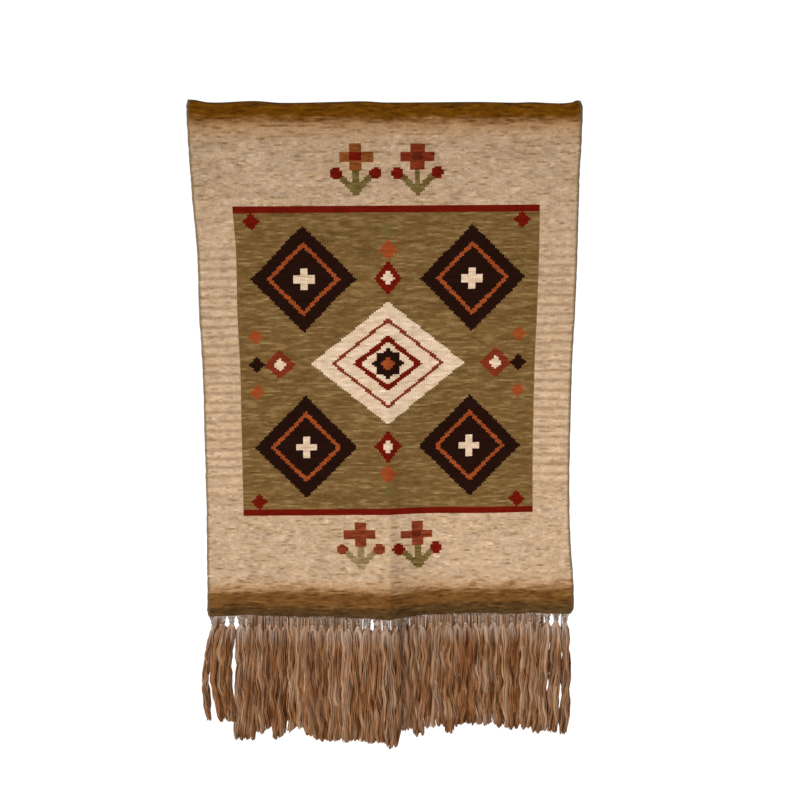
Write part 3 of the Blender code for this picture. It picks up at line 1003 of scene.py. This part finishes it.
def warp_tree(fringe):
    """Warp ends: from the cloth's last weft they draw together at once and run into the knots."""
    tree = Tree("warp_ends", **{"Sections": 9, "Radius": fringe.warp_radius})
    group = tree.group
    lines = lines_from(tree, tree.points(), tree.given("Sections"))
    share = Value(group, tree.node("SplineParameter").outputs["Factor"])
    x, y, z = parts_of(group, tree.node("InputPosition").outputs[0])
    root_z = z + share
    knot_x, knot_y, knot_z = parts_of(group, tree.named("knot_place", "FLOAT_VECTOR"))
    offset = x - knot_x
    gather = 1 - share.ease(-0.05, 0.42) * 0.42 - share.ease(0.4, 1) * 0.28
    twist_turn = share * 17 + tree.named("turn")
    loose, twist_reach = share * (1 - share), 0.0034
    new_x = knot_x + offset * gather + twist_turn.sine() * loose * twist_reach
    new_y = y + (knot_y - y) * share + twist_turn.math("COSINE") * loose * twist_reach
    new_z = root_z + (knot_z - root_z) * share
    tree.finish(tube(tree, tree.move(lines, new_x, new_y, new_z), tree.given("Radius"), 5))
    return tree


def knot_tree(fringe):
    """Knots: one overhand knot, drawn tight, turned a little differently at every tassel."""
    numbers = {"Loop": fringe.knot_loop, "Radius": fringe.knot_yarn, "Sections": 44, "Seed": 5}
    tree = Tree("overhand_knots", **numbers)
    group = tree.group
    circle = tree.node("CurvePrimitiveCircle", {"mode": "RADIUS"})
    plug(group, circle.inputs["Resolution"], tree.given("Sections"))
    share = Value(group, tree.node("SplineParameter").outputs["Factor"])
    angle = share * (2 * math.pi)
    loop = tree.given("Loop")
    x = (angle.sine() + (angle * 2).sine() * 2) * loop
    z = (angle.math("COSINE") - (angle * 2).math("COSINE") * 2) * loop * 1.12
    y = (angle * 3).sine() * loop * -0.9
    knot = tube(tree, tree.move(circle.outputs[0], x, y, z), tree.given("Radius"), 7)
    number = tree.named("number")
    seed = tree.given("Seed")
    tilts = [tree.random(-most, most, seed + step, number) for step, most in enumerate((0.25, 0.35, 0.9))]
    many = tree.node("InstanceOnPoints", Points=tree.points(), Instance=knot)
    euler = group.nodes.new("FunctionNodeEulerToRotation")
    plug(group, euler.inputs[0], vector(group, *tilts))
    plug(group, many.inputs["Rotation"], euler.outputs[0])
    size = tree.random(0.86, 1.12, seed + 3, number)
    plug(group, many.inputs["Scale"], vector(group, size, size, size))
    tone, hue = [tree.random(0.2, 0.9, seed + step, number) for step in (4, 5)]
    tree.finish(tree.store(many.outputs[0], "INSTANCE", yarn_tone=tone, yarn_hue=hue))
    return tree


def tassel_material(colours, name, darker):
    """Loosely spun fringe wool: each lock has its brown, with painted shade at its sides, and fine fibres run
    along it.

    The light falls on a lock as on one soft round body, and not on each of its yarns.
    """
    material, tree, shader, bump = wool_shader(name, relief=0.0002)
    labels = ("yarn_tone", "yarn_hue", "yarn_side", "yarn_along")
    tone, hue, side, along_yarn = [Value(tree, attribute(tree, label).outputs["Fac"]) for label in labels]
    edge = abs(side)
    places = tree.nodes.new("ShaderNodeTexCoord")
    x, y, z = parts_of(tree, places.outputs["Object"])
    faced_x, faced_y, faced_z = parts_of(tree, places.outputs["Normal"])
    soft = vector(tree, faced_x * 0.25 + side * 0.75, faced_y.math("SIGN") + faced_y * 0.3, faced_z)
    tree.links.new(vector_math(tree, "NORMALIZE", soft), bump.inputs["Normal"])
    patch = cloud(tree, x / 0.015, z / 0.07, 2, detail=2)
    strand = cloud(tree, x / 0.0048, z / 0.030, 5, detail=2)
    fibre = cloud(tree, x / 0.0008, z / 0.012, 6, detail=3, roughness=0.7)
    pale = cloud(tree, x / 0.013, z / 0.05, 9, detail=2).ease(0.38, 0.66)
    # painted highlight: paler wool just below the knots, where light catches the tassels
    root_highlight = (1 - along_yarn.ease(0.02, 0.20)) * (0.25 + pale * 0.75)
    # painted shade: each lock is darker at its sides (edge), and a layer further back is darker by its darker
    # value
    body = tone * 0.50 + (patch - 0.5) * 0.9 + (strand - 0.5) * 1.1 + 0.41 - edge * 0.30 - darker
    colour = mix(tree, body.ease(0, 0.55), rgba(colours.tassel_dark_and_shade), rgba(colours.tassel))
    colour = mix(tree, body.ease(0.45, 0.90) * 0.85, colour, rgba(colours.tassel_light))
    colour = mix(tree, hue.ease(0.45, 0.95) * 0.45, colour, rgba(colours.tassel_grey))
    colour = mix(tree, hue.ease(0.35, 0) * 0.45, colour, rgba(colours.tassel_rust))
    colour = mix(tree, root_highlight * 0.54, colour, rgba(colours.tassel_root_highlight))
    colour = shade(tree, colour, 0.86 + fibre * 0.28)
    tree.links.new(colour, shader.inputs["Base Color"])
    plug(tree, bump.inputs["Height"], fibre)
    return material


def warp_material(colours):
    """Undyed warp: a grey-cream two-ply twist."""
    material, tree, shader, bump = wool_shader("warp_wool", relief=0.0004)
    x, y, z = parts_of(tree, tree.nodes.new("ShaderNodeTexCoord").outputs["Object"])
    ply = ((z + x * 0.6 + y) / 0.0016).fraction()
    worn = cloud(tree, x / 0.006, z / 0.005, 4, detail=3)
    colour = mix(tree, worn.ease(0.35, 0.65) * 0.8, rgba(colours.warp), rgba(colours.tassel_dark_and_shade))
    # painted shade: darker in the groove between the two plies, where the bump is lowest
    colour = shade(tree, colour, 0.8 + abs(ply - 0.5) * 0.6)
    tree.links.new(colour, shader.inputs["Base Color"])
    plug(tree, bump.inputs["Height"], abs(ply - 0.5) * 2)
    return material


def settle(piece, slot_name, *nodes):
    """Fixes a finished piece to the frame."""
    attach(piece, BODY)
    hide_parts(*nodes)


class HANGING_OT_weave_cloth(Operator):
    """Weave the cloth on its hung surface"""

    bl_idname = "hanging.weave_cloth"
    bl_label = "Weave Cloth"

    def execute(self, context):
        cloth = weave_cloth(context.scene.hanging_cloth, context.scene.hanging_colours)
        settle(cloth, "woven_wool", "woven_cloth")
        return {"FINISHED"}


class HANGING_OT_tie_fringe(Operator):
    """Bring the warp ends together and tie the knots"""

    bl_idname = "hanging.tie_fringe"
    bl_label = "Tie Fringe"

    def execute(self, context):
        scene = context.scene
        cloth, fringe, colours = scene.hanging_cloth, scene.hanging_fringe, scene.hanging_colours
        knots, pitch = knot_row(cloth, fringe)
        places = np.arange(fringe.warps)
        offsets = (places - (fringe.warps - 1) / 2) * pitch / fringe.warps
        x = (knots[:, 0, None] + offsets).ravel()
        y = -stand_off(cloth, x, np.full_like(x, cloth.length)) - cloth.thickness / 2
        in_cloth = 0.0015
        roots = np.stack([x, y, -cloth.length - edge_drop(x) + in_cloth], -1)
        warp_guide = guide(
            "warp_guide",
            roots,
            knot_place=np.repeat(knots, fringe.warps, axis=0),
            turn=np.tile(places * 2.4, len(knots)),
        )
        warps = warp_tree(fringe).grow("warp_ends", warp_guide, warp_material(colours))
        settle(warps, "fringe_wool", "knotted_fringe")
        knot_guide = guide("knot_guide", knots, number=np.arange(len(knots)))
        wool = tassel_material(colours, "knot_wool", 0)
        tied = knot_tree(fringe).grow("fringe_knots", knot_guide, wool)
        settle(tied, "fringe_wool", "knotted_fringe")
        return {"FINISHED"}


class HANGING_OT_comb_tassels(Operator):
    """Let the tassels down from their knots, in three layers of locks"""

    bl_idname = "hanging.comb_tassels"
    bl_label = "Comb Tassels"

    def execute(self, context):
        scene = context.scene
        cloth, fringe, colours = scene.hanging_cloth, scene.hanging_fringe, scene.hanging_colours
        knots, pitch = knot_row(cloth, fringe)
        numbers = np.arange(len(knots))
        columns = {
            "yarn_length": along(TASSELS, TASSEL_LENGTH, numbers) * MM - fringe.knot_drop,
            "mid_shift": along(TASSELS, MID_SHIFT, numbers) * MM,
            "tip_shift": along(TASSELS, TIP_SHIFT, numbers) * MM,
            "bulk": along(TASSELS, BULK, numbers),
            "fill": along(TASSELS, FILL, numbers),
            "number": numbers,
        }
        for layer in LAYERS:
            # darker: the layer's painted shade, deeper layers darker
            name, darker = layer[0], layer[6]
            wool = tassel_material(colours, name + "_wool", darker)
            yarn_guide = guide("yarn_guide", knots, **columns)
            tassels = yarn_tree(fringe, pitch, layer).grow(name, yarn_guide, wool)
            settle(tassels, "fringe_wool", "knotted_fringe")
        return {"FINISHED"}


class HANGING_OT_set_stage(Operator):
    """Set up the floor, the soft light and the camera"""

    bl_idname = "hanging.set_stage"
    bl_label = "Set Stage"

    def execute(self, context):
        stage = context.scene.hanging_stage
        lay_floor(stage)
        hang_lamp(stage)
        light_room(context.scene, stage)
        place_camera(context.scene, stage)
        return {"FINISHED"}


def lay_floor(stage):
    """A wide pale floor under the hanging."""
    half, z = 14, -stage.floor_drop
    corners = [(-half, -half, z), (half, -half, z), (half, half, z), (-half, half, z)]
    mesh = bpy.data.meshes.new("floor")
    mesh.from_pydata(corners, [], [(0, 1, 2, 3)])
    material = bpy.data.materials.new("pale_floor")
    material.use_nodes = True
    tree = material.node_tree
    shader = tree.nodes["Principled BSDF"]
    fill_in(shader, Roughness=0.9, Specular_IOR_Level=0.1, Emission_Color=WHITE, Emission_Strength=0.5)
    x, y, _ = parts_of(tree, tree.nodes.new("ShaderNodeTexCoord").outputs["Object"])
    grain = cloud(tree, x * 3, y * 3, 0)
    colour = shade(tree, (0.97, 0.97, 0.965), 0.99 + grain * 0.02)
    tree.links.new(colour, shader.inputs["Base Color"])
    add_object("floor", mesh, material)


def hang_lamp(stage):
    """One broad, soft light from the left, so that the folds show."""
    light = bpy.data.lights.new("broad_light", "SUN")
    light.angle = math.radians(35)
    light.energy = stage.key
    lamp = bpy.data.objects.new("broad_light", light)
    from_hanging = Vector((-0.78, -0.60, 0.18))
    lamp.location = from_hanging * 3
    lamp.rotation_euler = from_hanging.to_track_quat("Z", "Y").to_euler()
    bpy.context.scene.collection.objects.link(lamp)


def light_room(scene, stage):
    """Even daylight, with a backdrop that the camera sees as plain white."""
    world = bpy.data.worlds.new("daylight")
    world.use_nodes = True
    tree = world.node_tree
    light = tree.nodes["Background"]
    fill_in(light, Color=(1, 0.985, 0.965, 1), Strength=stage.daylight)
    seen = tree.nodes.new("ShaderNodeBackground")
    fill_in(seen, Color=WHITE, Strength=1.05)
    path = tree.nodes.new("ShaderNodeLightPath")
    both = tree.nodes.new("ShaderNodeMixShader")
    tree.links.new(path.outputs["Is Camera Ray"], both.inputs[0])
    tree.links.new(light.outputs[0], both.inputs[1])
    tree.links.new(seen.outputs[0], both.inputs[2])
    tree.links.new(both.outputs[0], tree.nodes["World Output"].inputs["Surface"])
    scene.world = world
    scene.view_settings.view_transform = "Standard"


def place_camera(scene, stage):
    """The camera stands a little left of the hanging and looks down at it."""
    camera = bpy.data.objects.new("camera", bpy.data.cameras.new("camera"))
    camera.data.lens = stage.lens
    camera.data.sensor_width = 36
    view = (
        Matrix.Rotation(-stage.yaw, 4, "Z")
        @ Matrix.Rotation(math.pi / 2 - stage.pitch, 4, "X")
        @ Matrix.Rotation(stage.roll, 4, "Z")
    )
    camera.matrix_world = Matrix.Translation(stage.camera) @ view
    scene.collection.objects.link(camera)
    scene.camera = camera


class HANGING_PT_sidebar(Panel):
    """Everything that the hanging is made with"""

    bl_label = "Wall Hanging"
    bl_idname = "HANGING_PT_sidebar"
    bl_space_type = "VIEW_3D"
    bl_region_type = "UI"
    bl_category = "Hanging"

    def draw(self, context):
        for settings, operators in PANEL_ROWS:
            box = self.layout.box()
            group = getattr(context.scene, settings)
            for name in type(group).__annotations__:
                box.prop(group, name)
            for operator in operators:
                box.operator(operator)


PANEL_ROWS = (
    ("hanging_cloth", ("hanging.weave_cloth",)),
    ("hanging_colours", ()),
    ("hanging_fringe", ("hanging.tie_fringe", "hanging.comb_tassels")),
    ("hanging_stage", ("hanging.set_stage",)),
)

SETTINGS = {
    "hanging_cloth": ClothSettings,
    "hanging_colours": WoolColours,
    "hanging_fringe": FringeSettings,
    "hanging_stage": StageSettings,
}

CLASSES = (
    *SETTINGS.values(),
    HANGING_OT_weave_cloth,
    HANGING_OT_tie_fringe,
    HANGING_OT_comb_tassels,
    HANGING_OT_set_stage,
    HANGING_PT_sidebar,
)


def register():
    for made in CLASSES:
        bpy.utils.register_class(made)
    for name, settings in SETTINGS.items():
        setattr(bpy.types.Scene, name, PointerProperty(type=settings))


def unregister():
    for name in SETTINGS:
        delattr(bpy.types.Scene, name)
    for made in reversed(CLASSES):
        bpy.utils.unregister_class(made)


def main():
    register()
    bpy.ops.hanging.set_stage()
    bpy.ops.hanging.weave_cloth()
    bpy.ops.hanging.tie_fringe()
    bpy.ops.hanging.comb_tassels()


if __name__ == "__main__":
    main()
